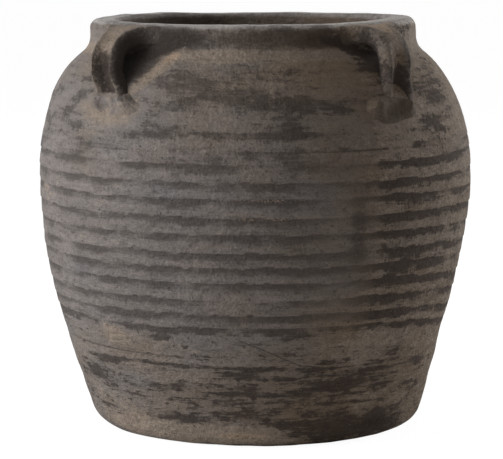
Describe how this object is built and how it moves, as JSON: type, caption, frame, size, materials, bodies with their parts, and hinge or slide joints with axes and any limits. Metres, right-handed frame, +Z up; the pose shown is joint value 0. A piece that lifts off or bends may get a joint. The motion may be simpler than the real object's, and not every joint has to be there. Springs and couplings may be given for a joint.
{
  "type": "clay pot",
  "caption": "Round-bellied hand-thrown clay planter jar with throwing ridges, a thick rim collar and strap lugs pressed from the rim to the shoulder.",
  "frame": {"origin": "middle of the underside, where the pot stands", "axes": "+Z up along the pot's axis; the lugs stand on +X, +Y, -X and -Y"},
  "size_m": [0.428, 0.428, 0.4],
  "materials": {
    "clay": "matte unglazed, smoked",
    "rim_clay": "matte unglazed, rubbed smooth"
  },
  "bodies": {
    "root": {"base_slab": "clay", "lower_wall": "clay", "belly_wall": "clay", "shoulder_wall": "clay", "rim_collar": "rim_clay", "lug_right": "clay", "lug_back": "clay", "lug_left": "clay", "lug_front": "clay", "lug_pad_right": "clay", "lug_pad_back": "clay", "lug_pad_left": "clay", "lug_pad_front": "clay"}
  },
  "joints": []
}
